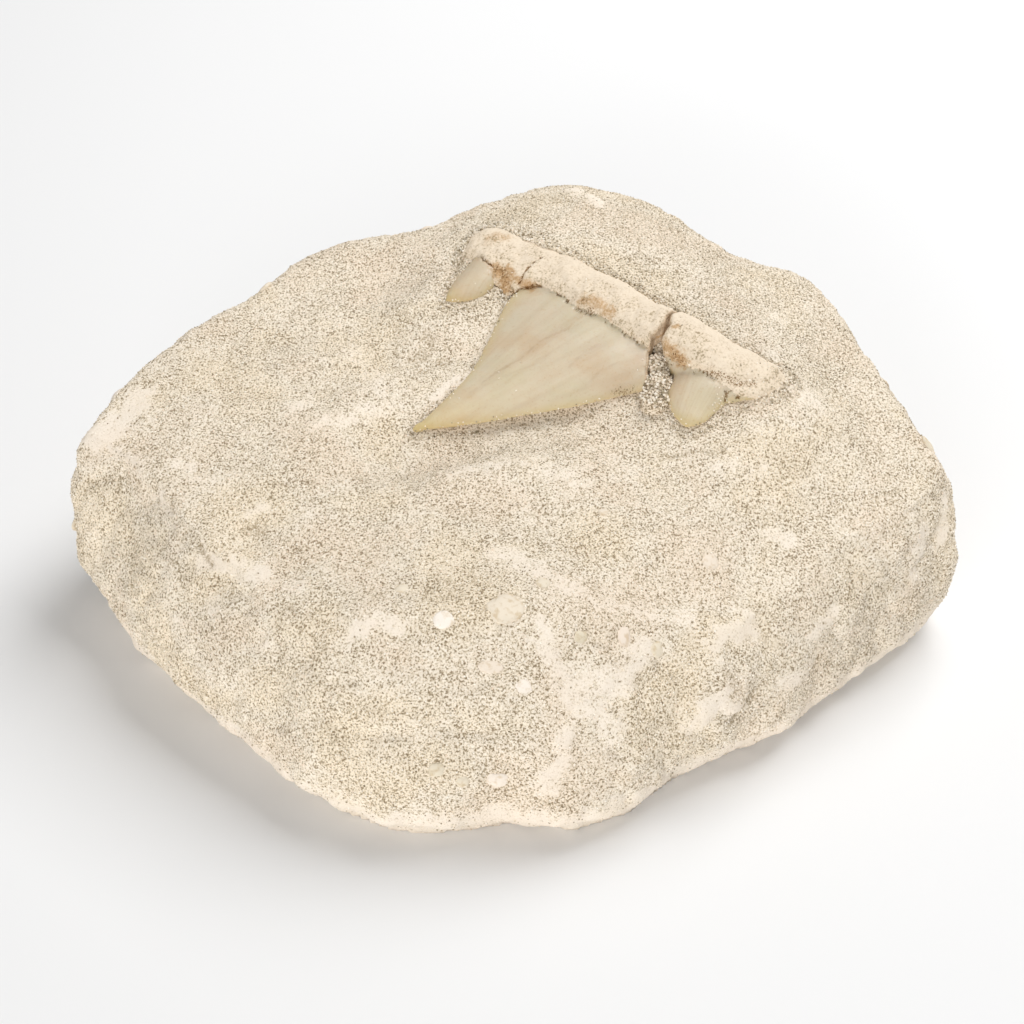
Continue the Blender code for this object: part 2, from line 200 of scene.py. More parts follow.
def makeCamera():
    data = bpy.data.cameras.new("camera")
    data.lens = cameraSetup["lens"]
    data.sensor_width = cameraSetup["sensor"]
    data.clip_start = 0.01
    data.clip_end = 20.0
    obj = bpy.data.objects.new("camera", data)
    bpy.context.scene.collection.objects.link(obj)
    target = Vector(cameraSetup["lookAt"]) * mm
    rise = radians(cameraSetup["elevation"])
    obj.location = target + Vector((0.0, -cos(rise), sin(rise))) * cameraSetup["distance"] * mm
    obj.rotation_euler = (target - obj.location).to_track_quat("-Z", "Y").to_euler()
    bpy.context.scene.camera = obj
    return obj


camera = makeCamera()
bpy.context.view_layer.update()


def throughPixel(px, py):
    # where the camera's ray through a pixel of the photograph starts, and its direction
    focal = cameraSetup["lens"] / cameraSetup["sensor"] * photoWidth
    local = Vector(((px - photoWidth / 2) / focal, (photoWidth / 2 - py) / focal, -1.0))
    return camera.location.copy(), (camera.matrix_world.to_3x3() @ local).normalized()


def onSkin(skin, pixels):
    # the places on a skin that the camera sees at these pixels
    hits = [skin.ray_cast(*throughPixel(*pixel))[0] for pixel in pixels]
    return [hit for hit in hits if hit]


print("camera placed")


# Materials

def newMaterial(name, roughness, specular):
    material = bpy.data.materials.new(name)
    material.use_nodes = True
    tree = material.node_tree
    tree.nodes.clear()
    output = addNode(tree, "ShaderNodeOutputMaterial")
    settings = {"Roughness": roughness, "Specular IOR Level": specular}
    shader = addNode(tree, "ShaderNodeBsdfPrincipled", settings)
    tree.links.new(shader.outputs[0], output.inputs[0])
    place = addNode(tree, "ShaderNodeTexCoord").outputs["Object"]
    return material, tree, shader, place


def brokenUp(tree, place, name, size, depth=1.4, soft=0.2):
    # an attribute whose soft edges are broken up by noise of this size in mm
    given = addNode(tree, "ShaderNodeAttribute", {"attribute_name": name})
    settings = {"Scale": 1 / (size * mm), "Detail": 4.0, "Roughness": 0.6}
    speckle = addNode(tree, "ShaderNodeTexNoise", settings, {"Vector": place})
    settings = {"operation": "MULTIPLY_ADD", 1: depth}
    moved = addNode(tree, "ShaderNodeMath", settings, {0: speckle.outputs[0], 2: given.outputs["Fac"]})
    middle = 0.5 * depth + 0.6
    settings = {"interpolation_type": "SMOOTHSTEP", "From Min": middle - soft, "From Max": middle + soft}
    return addNode(tree, "ShaderNodeMapRange", settings, {"Value": moved.outputs[0]}).outputs[0]


def phosphateSandstone():
    # weakly cemented phosphate sand, broken by hand: matt and pale, with dark pores between its grains
    material, tree, shader, place = newMaterial("phosphateSandstone", 0.95, 0.2)
    chalky = brokenUp(tree, place, "chalk", 1.0, 1.8, 0.4)
    packing = addNode(tree, "ShaderNodeAttribute", {"attribute_name": "packing"})
    settings = {"Scale": 1 / (0.27 * mm), "Detail": 1.5, "Roughness": 0.6}  # pores of about 0.2 mm
    pores = addNode(tree, "ShaderNodeTexNoise", settings, {"Vector": place})
    settings = {"operation": "MULTIPLY_ADD", 1: 0.13}
    filled = addNode(tree, "ShaderNodeMath", settings, {0: chalky, 2: packing.outputs["Fac"]})
    settings = {"operation": "ADD"}
    level = addNode(tree, "ShaderNodeMath", settings, {0: pores.outputs[0], 1: filled.outputs[0]})
    stops = [(0.34, "#8B7B64"), (0.42, "#B8A991"), (0.5, "#E0D3BF"), (0.58, "#EBE0CF"), (0.75, "#F0E6D7")]
    sand = addNode(tree, "ShaderNodeValToRGB", {"stops": stops}, {"Fac": level.outputs[0]})
    cloud = addNode(tree, "ShaderNodeTexNoise", {"Scale": 1 / (14.0 * mm), "Detail": 3.0}, {"Vector": place})
    stops = [(0.38, "#FFFCF6"), (0.5, "#FFFFFF"), (0.62, "#FDF9F6")]
    warmth = addNode(tree, "ShaderNodeValToRGB", {"stops": stops}, {"Fac": cloud.outputs[0]})
    settings = {"data_type": "RGBA", "blend_type": "MULTIPLY", 0: 1.0}
    body = addNode(tree, "ShaderNodeMix", settings, {6: sand.outputs[0], 7: warmth.outputs[0]}).outputs[2]
    share = addNode(tree, "ShaderNodeMath", {"operation": "MULTIPLY", 1: 0.55}, {0: chalky}).outputs[0]
    # the crevice colour darkens cracks, and in the dents and notches it is painted shade
    for amount, colour in ((share, "#ECDFCF"), (brokenUp(tree, place, "creviceAndShade", 0.3, 2.4, 0.4), "#A59479")):
        settings = {"data_type": "RGBA", 7: colour}
        body = addNode(tree, "ShaderNodeMix", settings, {0: amount, 6: body}).outputs[2]
    tree.links.new(body, shader.inputs["Base Color"])
    settings = {"Strength": 0.6, "Distance": 0.16 * mm}
    bump = addNode(tree, "ShaderNodeBump", settings, {"Height": level.outputs[0]})
    tree.links.new(bump.outputs[0], shader.inputs["Normal"])
    return material


def phosphateGrain():
    # single sand grains: phosphate pellets and quartz, cream to grey-brown, each with its own tint
    material, tree, shader, place = newMaterial("phosphateGrain", 0.8, 0.3)
    tint = addNode(tree, "ShaderNodeAttribute", {"attribute_name": "tint"})
    stops = [
        (0.0, "#8B7D64"), (0.1, "#A79980"), (0.22, "#CCBFA8"), (0.4, "#E3D8C4"),
        (0.75, "#EDE3D3"), (0.93, "#F5EEE1"), (1.0, "#E7D4BF"),
    ]
    body = addNode(tree, "ShaderNodeValToRGB", {"stops": stops}, {"Fac": tint.outputs["Fac"]})
    tree.links.new(body.outputs[0], shader.inputs["Base Color"])
    return material


def chalkyPebble():
    # rounded pebbles of fine-grained phosphate: smoother and paler than the sand round them
    material, tree, shader, place = newMaterial("chalkyPebble", 0.85, 0.3)
    tint = addNode(tree, "ShaderNodeAttribute", {"attribute_name": "tint"})
    stops = [(0.0, "#DACFB9"), (0.35, "#E3D7C3"), (0.7, "#E7D9C9"), (1.0, "#F2E9DD")]
    body = addNode(tree, "ShaderNodeValToRGB", {"stops": stops}, {"Fac": tint.outputs["Fac"]})
    spots = addNode(tree, "ShaderNodeTexNoise", {"Scale": 1 / (0.7 * mm), "Detail": 5.0}, {"Vector": place})
    stops = [(0.32, "#E6DBC8"), (0.5, "#FFFFFF")]
    speckle = addNode(tree, "ShaderNodeValToRGB", {"stops": stops}, {"Fac": spots.outputs[0]})
    settings = {"data_type": "RGBA", "blend_type": "MULTIPLY", 0: 0.8}
    speckled = addNode(tree, "ShaderNodeMix", settings, {6: body.outputs[0], 7: speckle.outputs[0]})
    tree.links.new(speckled.outputs[2], shader.inputs["Base Color"])
    fine = addNode(tree, "ShaderNodeTexNoise", {"Scale": 1 / (0.3 * mm), "Detail": 3.0}, {"Vector": place})
    settings = {"Strength": 0.35, "Distance": 0.1 * mm}
    bump = addNode(tree, "ShaderNodeBump", settings, {"Height": fine.outputs[0]})
    tree.links.new(bump.outputs[0], shader.inputs["Normal"])
    return material


def fossilEnamel():
    # mineralised enameloid: smooth and waxy, a little light goes in, faintly streaked along its growth
    material, tree, shader, place = newMaterial("fossilEnamel", 0.38, 0.4)
    fan = addNode(tree, "ShaderNodeAttribute", {"attribute_name": "fan"}).outputs["Vector"]
    along = addNode(tree, "ShaderNodeAttribute", {"attribute_name": "along"})
    stops = [(0.0, "#CABDA6"), (0.35, "#CEC0A7"), (0.7, "#D2C4A9"), (0.9, "#D1C09B"), (1.0, "#C9B383")]
    body = addNode(tree, "ShaderNodeValToRGB", {"stops": stops}, {"Fac": along.outputs["Fac"]})
    streak = addNode(tree, "ShaderNodeTexNoise", {"Scale": 1.0, "Detail": 4.0}, {"Vector": fan})
    stops = [(0.32, "#DCC6B0"), (0.46, "#F4ECE0"), (0.6, "#FFFFFF")]
    bands = addNode(tree, "ShaderNodeValToRGB", {"stops": stops}, {"Fac": streak.outputs[0]})
    settings = {"data_type": "RGBA", "blend_type": "MULTIPLY", 0: 0.2}
    banded = addNode(tree, "ShaderNodeMix", settings, {6: body.outputs[0], 7: bands.outputs[0]})
    cloud = addNode(tree, "ShaderNodeTexNoise", {"Scale": 1 / (6.0 * mm), "Detail": 3.0}, {"Vector": place})
    stops = [(0.36, "#FBF4EE"), (0.5, "#FFFFFF"), (0.66, "#F9FAF5")]
    clouds = addNode(tree, "ShaderNodeValToRGB", {"stops": stops}, {"Fac": cloud.outputs[0]})
    settings = {"data_type": "RGBA", "blend_type": "MULTIPLY", 0: 1.0}
    body = addNode(tree, "ShaderNodeMix", settings, {6: banded.outputs[2], 7: clouds.outputs[0]}).outputs[2]
    rim = addNode(tree, "ShaderNodeAttribute", {"attribute_name": "rim"}).outputs["Fac"]
    vein = addNode(tree, "ShaderNodeAttribute", {"attribute_name": "vein"}).outputs["Fac"]
    layers = [
        (rim, "MIX", "#CDB984"),
        (vein, "MIX", "#AD9275"),
        (brokenUp(tree, place, "stain", 0.35, 2.2, 0.6), "MULTIPLY", "#E8CBA6"),
        (brokenUp(tree, place, "lime", 0.5), "MIX", "#EFE7DA"),
        # dark specks and cracks, with painted shade in the pits and along the crown's foot
        (brokenUp(tree, place, "darkMarksAndShade", 0.22, 2.4), "MULTIPLY", "#A58F70"),
    ]
    for amount, kind, colour in layers:
        settings = {"data_type": "RGBA", "blend_type": kind, 7: colour}
        body = addNode(tree, "ShaderNodeMix", settings, {0: amount, 6: body}).outputs[2]
    tree.links.new(body, shader.inputs["Base Color"])
    shader.inputs["IOR"].default_value = 1.58
    shader.inputs["Subsurface Weight"].default_value = 0.25
    shader.inputs["Subsurface Radius"].default_value = (1.0, 0.7, 0.45)
    shader.inputs["Subsurface Scale"].default_value = 1.0 * mm
    ribs = addNode(tree, "ShaderNodeTexNoise", {"Scale": 3.0, "Detail": 2.0}, {"Vector": fan})
    settings = {"Strength": 0.25, "Distance": 0.08 * mm}
    bump = addNode(tree, "ShaderNodeBump", settings, {"Height": ribs.outputs[0]})
    tree.links.new(bump.outputs[0], shader.inputs["Normal"])
    return material


def fossilRootBone():
    # mineralised root bone: matt and porous, with sand in its pores and rust where iron has seeped in
    material, tree, shader, place = newMaterial("fossilRootBone", 0.88, 0.25)
    settings = {"Scale": 1 / (0.32 * mm), "Detail": 2.0, "Roughness": 0.6}
    pores = addNode(tree, "ShaderNodeTexNoise", settings, {"Vector": place})
    settings = {"Scale": 1 / (2.4 * mm), "Detail": 3.0}
    patches = addNode(tree, "ShaderNodeTexNoise", settings, {"Vector": place})
    # painted light: root faces that turn up and back are made lighter
    paintedTopLight = addNode(tree, "ShaderNodeAttribute", {"attribute_name": "paintedTopLight"})
    settings = {"operation": "MULTIPLY_ADD", 1: 0.6, 2: -0.24}
    patchy = addNode(tree, "ShaderNodeMath", settings, {0: patches.outputs[0]})
    settings = {"operation": "MULTIPLY_ADD", 1: 0.2}
    filled = addNode(tree, "ShaderNodeMath", settings, {0: paintedTopLight.outputs["Fac"], 2: patchy.outputs[0]})
    settings = {"operation": "ADD"}
    level = addNode(tree, "ShaderNodeMath", settings, {0: pores.outputs[0], 1: filled.outputs[0]})
    stops = [(0.34, "#A6957B"), (0.42, "#CBBA9F"), (0.49, "#DCCBB3"), (0.6, "#E4D4BE"), (0.8, "#E8D9C3")]
    body = addNode(tree, "ShaderNodeValToRGB", {"stops": stops}, {"Fac": level.outputs[0]}).outputs[0]
    stain = addNode(tree, "ShaderNodeAttribute", {"attribute_name": "stain"}).outputs["Fac"]
    layers = [
        (stain, "#F3E8D9"),
        (brokenUp(tree, place, "stain", 0.3, 2.4, 0.55), "#DBC8AF"),
        # dark specks and cracks, with painted shade in the pits and along the crown's foot
        (brokenUp(tree, place, "darkMarksAndShade", 0.22, 2.4), "#9C876A"),
    ]
    for amount, colour in layers:
        settings = {"data_type": "RGBA", "blend_type": "MULTIPLY", 7: colour}
        body = addNode(tree, "ShaderNodeMix", settings, {0: amount, 6: body}).outputs[2]
    tree.links.new(body, shader.inputs["Base Color"])
    settings = {"Strength": 0.5, "Distance": 0.15 * mm}
    bump = addNode(tree, "ShaderNodeBump", settings, {"Height": level.outputs[0]})
    tree.links.new(bump.outputs[0], shader.inputs["Normal"])
    return material


def palePlaster():
    # the studio floor, matt white
    material, tree, shader, place = newMaterial("palePlaster", 0.9, 0.2)
    shader.inputs["Base Color"].default_value = hexColour("#EAEAEA")
    return material


sandstone = phosphateSandstone()
grainMaterial = phosphateGrain()
pebbleMaterial = chalkyPebble()
enamel = fossilEnamel()
rootBone = fossilRootBone()
print("materials made")


# The rock: the block's skin without its pocket, roughened

rock = {
    "voxel": 0.59,  # mm
    "pocketReach": 2.5,  # mm from a pocket wall to the tooth
    "lumps": ((7.0, 0.55), (2.8, 0.26), (1.2, 0.16)),  # size and height in mm
    "plates": (5.5, 0.45),  # broken plates on the sides: size and height in mm
    "flatBelow": 0.5,  # mm, where the underside is kept flat
    "wornHem": (8.5, 3.4),  # mm, the chalky worn edge above the underside
    "loosePatches": 8.0,  # mm
    "chalkRise": 0.12,  # mm that chalky places stand out
    "creviceDepth": 0.5,  # mm
    "bank": 0.35,  # mm that the sand rises against the tooth
    "bankReach": (1.3, 0.3),  # mm from the tooth, where the bank starts and is full
    "buriedReach": 12.0,  # mm below the tooth that stays free of grains
    "seed": 3.1,
}

# Chalky places: strokes over pixels of the photograph, half their width in mm, and how chalky they are
chalkStrokes = {
    "leftEnd": ([(95, 432), (122, 418), (140, 404)], 2.6, 0.95),
    "leftEndLow": ([(118, 450), (138, 465)], 1.7, 0.6),
    "leftTop": ([(176, 466), (192, 470)], 0.9, 0.75),
    "leftTopRight": ([(194, 479), (212, 480)], 0.7, 0.6),
    "leftShelf": ([(162, 500), (168, 514)], 1.3, 0.6),
    "leftSpot": ([(116, 600), (119, 602)], 0.5, 0.9),
    "shoulder": ([(204, 558), (225, 566)], 1.6, 0.95),
    "shoulderRight": ([(232, 568), (262, 574)], 1.6, 0.95),
    "shoulderFade": ([(270, 580), (296, 586)], 1.4, 0.6),
    "shoulderBack": ([(250, 512), (264, 508)], 0.9, 0.8),
    "shoulderFoot": ([(208, 600), (214, 610)], 1.1, 0.6),
    "shoulderSpot": ([(262, 642), (265, 643)], 0.6, 0.9),
    "topLeftSpot": ([(300, 520), (314, 517)], 0.8, 0.6),
    "besideTip": ([(298, 408), (312, 400)], 1.3, 0.7),
    "besideTipRight": ([(318, 424), (345, 418), (372, 410)], 1.5, 0.6),
    "leftOfTip": ([(345, 352), (372, 372), (388, 400)], 2.6, 0.55),
    "belowTip": ([(455, 470), (520, 465), (580, 475)], 2.2, 0.55),
    "belowCrown": ([(560, 470), (600, 487), (650, 462)], 1.1, 0.5),
    "rightOfCrown": ([(720, 465), (758, 470)], 1.9, 0.5),
    "rimMiddle": ([(495, 545), (520, 562), (578, 590)], 1.5, 0.75),
    "rimRight": ([(590, 600), (640, 612), (690, 622)], 1.2, 0.6),
    "rightLedge": ([(722, 640), (748, 630)], 2.1, 0.95),
    "curvedStreak": ([(352, 632), (375, 622), (398, 626)], 1.1, 0.95),
    "frontSpot": ([(336, 619), (339, 620)], 0.6, 0.9),
    "ridgeLeft": ([(545, 632), (556, 660), (575, 680)], 1.6, 0.85),
    "ridgeMiddle": ([(580, 690), (595, 712), (610, 725)], 2.7, 0.75),
    "ridgeRight": ([(640, 655), (628, 675), (605, 690)], 1.9, 0.85),
    "ridgeFoot": ([(564, 735), (562, 760), (540, 785)], 1.3, 0.85),
    "rightFoot": ([(700, 720), (725, 704)], 2.5, 0.9),
    "rightSpot": ([(776, 532), (795, 543)], 1.3, 0.85),
    "rightPatch": ([(786, 682), (812, 668)], 1.5, 0.75),
    "rightCorner": ([(815, 632), (832, 614)], 1.4, 0.75),
    "rightEnd": ([(915, 570), (925, 530)], 1.3, 0.85),
    "rightEndEdge": ([(940, 545), (948, 500)], 1.1, 0.85),
    "backTop": ([(575, 192), (600, 203)], 1.4, 0.85),
    "behindRoot": ([(668, 288), (686, 296)], 1.3, 0.5),
    "besideLobe": ([(792, 392), (815, 405)], 1.8, 0.65),
    "topRight": ([(760, 350), (775, 356)], 1.2, 0.5),
    "limeCrust": ([(436, 398), (452, 384), (472, 373)], 0.8, 1.0),
}

# Dark cracks, dents and coarse patches in the rock, sunk and darkened; in the dents and notches the
# darkening is painted shade: pixels, half their width in mm, and strength
rockCracksAndShade = {
    "shoulder": ([(198, 545), (211, 564)], 0.35, 0.65),
    "leftShelf": ([(170, 497), (170, 510)], 0.35, 0.6),
    "leftTop": ([(184, 423), (188, 426)], 0.35, 0.65),
    # painted shadow under the ledge above this dent
    "dentShadow": ([(248, 529), (261, 531)], 0.8, 0.55),
    "front": ([(289, 607), (295, 614)], 0.35, 0.65),
    "rightLedge": ([(726, 729), (746, 706), (768, 680)], 0.4, 0.55),
    "belowTip": ([(488, 453), (500, 450)], 0.35, 0.65),
    "belowLobe": ([(662, 456), (682, 453), (702, 452)], 0.4, 0.5),
    "belowLobeEnd": ([(711, 452), (723, 450)], 0.4, 0.5),
    # painted shade in the notch left of the root, over darker sand
    "besideRootShade": ([(470, 238), (463, 254), (456, 272)], 0.9, 0.5),
    "besideCrown": ([(429, 341), (426, 352), (414, 360)], 0.8, 0.5),
    "besideCrownLow": ([(421, 371), (434, 364), (445, 361)], 0.5, 0.55),
}

# Pebbles in the rock: pixel of the middle, length and width in mm, and tint from yellow to white
pebbles = {
    "largeOval": ((505, 607), 4.8, 3.9, 0.4),
    "whiteChip": ((443, 620), 2.9, 2.3, 1.0),
    "paleLens": ((491, 667), 3.0, 1.7, 0.6),
    "smallChip": ((524, 687), 2.1, 1.8, 0.9),
    "pinkOval": ((624, 637), 1.9, 3.0, 0.7),
    "yellowOval": ((657, 649), 1.8, 2.3, 0.2),
    "footPebble": ((497, 780), 3.3, 2.3, 0.8),
    "footLeft": ((437, 770), 2.2, 1.9, 0.1),
    "footMiddle": ((463, 782), 1.8, 1.6, 0.2),
    "rimPebble": ((710, 562), 2.9, 2.3, 0.6),
    "rimChip": ((543, 583), 1.9, 1.9, 0.3),
    "leftChip": ((402, 588), 1.7, 1.6, 0.3),
    "topChip": ((603, 512), 1.3, 1.1, 0.5),
    "greyBead": ((580, 637), 2.0, 1.7, 0.0),
}
strayPebbles = {
    "count": 60,  # on the sides that the photograph doesn't show
    "sizes": (1.2, 3.0),  # mm
    "seed": 11,
}


def toothTree():
    whole = bmesh.new()
    for node in ("tooth", "broken_root_lobe"):
        whole.from_mesh(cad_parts[node].data)
    tree = BVHTree.FromBMesh(whole)
    whole.free()
    return tree


toothSkin = toothTree()


def withoutPocket(shape):
    # takes the pocket's walls away and closes the block's top over the buried part of the tooth
    walls = []
    for face in shape.faces:
        if toothSkin.ray_cast(face.calc_center_median(), face.normal, rock["pocketReach"] * mm)[0]:
            walls.append(face)
    bmesh.ops.delete(shape, geom=walls, context="FACES")
    islands, seen = [], set()
    for first in shape.faces:
        if first in seen:
            continue
        island, edge = [first], [first]
        seen.add(first)
        while edge:
            for near in (f for e in edge.pop().edges for f in e.link_faces):
                if near not in seen:
                    seen.add(near)
                    island.append(near)
                    edge.append(near)
        islands.append(island)
    islands.sort(key=len)
    for island in islands[:-1]:
        bmesh.ops.delete(shape, geom=island, context="FACES")
    rims = [e for e in shape.edges if e.is_boundary]
    bmesh.ops.triangle_fill(shape, edges=rims, use_beauty=True)
    bmesh.ops.recalc_face_normals(shape, faces=shape.faces[:])
    print("pocket walls", len(walls), "open edges", sum(e.is_boundary for e in shape.edges))
    return shape


def findPebbles(mesh, skin):
    # place, outward direction, length, width and tint of every pebble
    found = []
    for pixel, length, width, tint in pebbles.values():
        place, normal = skin.ray_cast(*throughPixel(*pixel))[:2]
        found.append((place, normal, length, width, tint))
    draw = random.Random(strayPebbles["seed"])
    while len(found) < len(pebbles) + strayPebbles["count"]:
        face = mesh.polygons[draw.randrange(len(mesh.polygons))]
        length = draw.uniform(*strayPebbles["sizes"])
        width = length * draw.uniform(0.6, 1.0)
        tint = draw.random()
        seen = (camera.location - face.center).dot(face.normal) > 0.0
        steep = face.normal.z < 0.7 and face.center.z > 4.0 * mm
        if steep and not seen:
            found.append((face.center.copy(), face.normal.copy(), length, width, tint))
    return found


def makeRock():
    mesh = remeshed(withoutPocket(mergedCopy("matrix_block")), rock["voxel"] * mm)
    skin = skinTree(mesh)
    found = findPebbles(mesh, skin)
    points, normals = readPoints(mesh), readPoints(mesh, "normal")
    ragged = raggedAt(points, 2.2)
    chalk = np.zeros(len(points))
    for pixels, halfWidth, strength in chalkStrokes.values():
        inside = 1.0 - awayFrom(points, onSkin(skin, pixels)) / (halfWidth * 1.2)
        chalk = np.maximum(chalk, smoothRise(-0.5, 0.9, inside + ragged * 0.9) * strength)
    loose = raggedAt(points, rock["loosePatches"], 5, rock["seed"])
    chalk = np.maximum(chalk, smoothRise(0.25, 0.75, loose) * 0.35)
    hem = smoothRise(*rock["wornHem"], points[:, 2] / mm + ragged * 1.5)
    chalk = np.maximum(chalk, hem * 0.9)
    # cracks, dents and notches are sunk and darkened; the darkening is partly painted shade
    creviceAndShade = np.zeros(len(points))
    for pixels, halfWidth, strength in rockCracksAndShade.values():
        away = awayFrom(points, onSkin(skin, pixels)) / halfWidth
        creviceAndShade = np.maximum(creviceAndShade, smoothRise(2.2, 0.8, away + ragged * 0.6) * strength)
    onTop = smoothRise(0.55, 0.9, normals[:, 2])
    packing = raggedAt(points, 5.0) * 0.045 + 0.012
    move = rock["chalkRise"] * chalk - rock["creviceDepth"] * creviceAndShade
    for size, height in rock["lumps"]:
        calm = 1.0 - 0.45 * onTop - 0.4 * chalk * (size < 2.0)
        move += lumpsAt(points, size, rock["seed"]) * height * calm
    plateSize, plateHeight = rock["plates"]
    cells = [noise.voronoi(Vector(p))[0] for p in points / (plateSize * mm)]
    toEdge = np.array([cell[1] - cell[0] for cell in cells])
    move += (smoothRise(0.0, 0.5, toEdge) - 0.6) * plateHeight * (1.0 - onTop)
    away = np.array([toothSkin.find_nearest(Vector(p), 3.0 * mm)[3] or 3.0 * mm for p in points]) / mm
    move *= 0.2 + 0.8 * smoothRise(0.0, 2.0, away)
    move += rock["bank"] * smoothRise(*rock["bankReach"], away)
    cover = 1.0 - 0.85 * smoothRise(0.3, 0.9, chalk)
    for place, normal, length, width, tint in found:
        near = np.linalg.norm(points - np.array(place), axis=1) / mm / (0.25 * (length + width))
        cover *= smoothRise(0.8, 1.1, near)
        move = move * smoothRise(0.6, 1.6, near)
    upwards = Vector((0.0, 0.0, 1.0))
    reach = rock["buriedReach"] * mm
    buried = np.array([toothSkin.ray_cast(Vector(p), upwards, reach)[0] is not None for p in points])
    cover[buried] = 0.0
    under = (points[:, 2] < rock["flatBelow"] * mm) & (normals[:, 2] < -0.5)
    cover[under] = 0.0
    points += normals * (move * mm * ~under)[:, None]
    points[under, 2] = 0.0
    points[:, 2] = np.maximum(points[:, 2], 0.0)
    writePoints(mesh, points)
    for key, numbers in {"chalk": chalk, "packing": packing, "creviceAndShade": creviceAndShade, "cover": cover}.items():
        giveAttribute(mesh, key, numbers)
    mesh.shade_smooth()
    obj = newObject("matrixRock", mesh, sandstone)
    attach(obj, "root")
    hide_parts("matrix_block")
    print("rock made,", len(mesh.polygons), "faces")
    return obj, found


rockPiece, foundPebbles = makeRock()


def makePebbles():
    # each pebble is a squashed, uneven ball sunk into the rock's face
    shape = bmesh.new()
    tintLayer = shape.verts.layers.float.new("tint")
    rightwards = camera.matrix_world.to_3x3() @ Vector((1.0, 0.0, 0.0))
    for index, (place, normal, length, width, tint) in enumerate(foundPebbles):
        first = (rightwards - normal * rightwards.dot(normal)).normalized()
        second = normal.cross(first)
        detail = 4 if index < len(pebbles) else 3
        ball = bmesh.ops.create_icosphere(shape, subdivisions=detail, radius=1.0)["verts"]
        for vert in ball:
            side = vert.co.copy()
            uneven = 1.0 + 0.16 * noise.noise(side * 1.3 + place / mm)
            uneven += 0.05 * noise.noise(side * 3.5 + place / mm)
            flat = side.z * 0.42 * min(length, width) / 2
            vert.co = place + (first * side.x * length / 2 + second * side.y * width / 2) * uneven * mm
            vert.co += normal * (flat * uneven - 0.13 * min(length, width) + 0.1) * mm
            vert[tintLayer] = tint
    mesh = meshOf(shape, "palePebbles")
    mesh.shade_smooth()
    obj = newObject("palePebbles", mesh, pebbleMaterial)
    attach(obj, "root")
    print("pebbles made,", len(mesh.polygons), "faces")


makePebbles()


# The tooth: both pieces get a fine skin, then enamel or bone by where they are

tooth = {
    "voxel": 0.225,  # mm
    "smoothing": 12,
    "leftEnd": [(-23.0, -2.0), (-19.7, -2.0), (-18.8, 3.8)],  # mm in the tooth's frame, where the root ends
    "crownTip": (-11.6, -26.5),  # mm
    "bluntness": (2.2, 0.45),  # mm from the tip, and how much fuller it is there
    "cuspletLength": 8.6,  # mm
    "leftCusplet": (-12.2, -6.0),  # mm, it lies left of and behind this place
    "breakLeft": (10.5, 11.5),  # mm along the root, where the broken faces begin
    "breakRight": (18.0, 17.0),  # mm, and where they end
    "fanPoint": (-15.0, -38.0),  # mm, the streaks of the crown spread from here
    "fanWidth": 1.3,  # mm between streaks
    "fanLength": 14.0,  # mm that a streak runs
    "step": 0.22,  # mm that the root stands over the enamel
    "pitDepth": 0.24,  # mm
    "crackDepth": 0.35,  # mm
    "grooveDepth": 0.25,  # mm
}

# The line where the root meets the enamel, at pixels of the photograph
rootLine = [
    (483, 258), (494, 272), (496, 290), (505, 300), (514, 292), (522, 288), (540, 285), (561, 294),
    (577, 308), (601, 316), (622, 331), (645, 347), (681, 364), (700, 371), (716, 378), (724, 386),
    (731, 392), (740, 396), (752, 398), (775, 398),
]
rustStrokes = {  # pixels, half their width in mm, and strength
    "star": ([(495, 270), (504, 276), (508, 282), (505, 290)], 0.9, 0.95),
    "starRight": ([(508, 268), (512, 277), (523, 283), (533, 287)], 0.55, 0.85),
    "starLeft": ([(486, 261), (495, 270)], 0.25, 0.7),
    "rootEnd": ([(490, 240), (498, 236), (505, 239)], 0.7, 0.5),
    "middle": ([(584, 302), (594, 301), (604, 308), (611, 312)], 0.75, 0.7),
    "break": ([(667, 347), (676, 354), (682, 362)], 0.8, 0.9),
    "breakEdge": ([(655, 337), (664, 332), (676, 327)], 0.3, 0.9),
    "cusplet": ([(446, 302), (452, 306), (460, 304)], 0.5, 0.6),
}
darkStrokes = {  # dark specks and lines: pixels, half their width in mm, and strength
    "star": ([(500, 270), (507, 276), (510, 286)], 0.7, 0.45),
    "break": ([(673, 353), (681, 361)], 0.6, 0.55),
    "lobe": ([(713, 373), (724, 379), (738, 384), (753, 384)], 0.6, 0.6),
    "besideCusplet": ([(727, 393), (726, 402), (727, 410)], 0.3, 0.75),
    # painted shade along the crown's lower edge, where it stands over the sand
    "crownFootShade": ([(617, 392), (624, 393), (632, 391)], 0.7, 0.5),
    "crownFootShadowLine": ([(630, 396), (648, 393)], 0.15, 0.8),
    "boundary": ([(579, 309), (592, 312)], 0.5, 0.6),
}
sandyStrokes = {  # sand over the tooth: pixels, half their width in mm, and how far it hides the enamel
    "rightOfCusplet": ([(719, 397), (716, 411), (711, 425)], 1.2, 0.0),
    "lobeEnd": ([(768, 396), (795, 400)], 2.0, 1.0),
    "lowEdge": ([(470, 424), (540, 414), (600, 402), (645, 394)], 0.3, 0.0),
    "leftEdge": ([(439, 404), (458, 384), (477, 363), (492, 328), (503, 305)], 0.3, 0.0),
    "leftCusplet": ([(449, 308), (470, 302), (490, 290)], 0.35, 0.0),
}
hairCracks = {  # fine cracks in the root, over pixels
    "long": [(519, 284), (524, 273), (530, 266), (542, 258)],
    "left": [(484, 259), (492, 266), (499, 272)],
    "low": [(511, 292), (522, 288), (534, 287)],
}
veins = {  # pixels and strength
    "long": ([(583, 316), (567, 329), (539, 342), (519, 360), (499, 371), (483, 382)], 0.45),
    "longLower": ([(545, 360), (500, 378), (470, 392)], 0.15),
    "middle": ([(598, 344), (585, 352), (569, 367)], 0.3),
    "right": ([(623, 360), (600, 371), (585, 386)], 0.3),
}
limeStrokes = {"leftEdge": [(436, 400), (446, 392), (458, 384), (474, 373)]}  # lime crust, over pixels


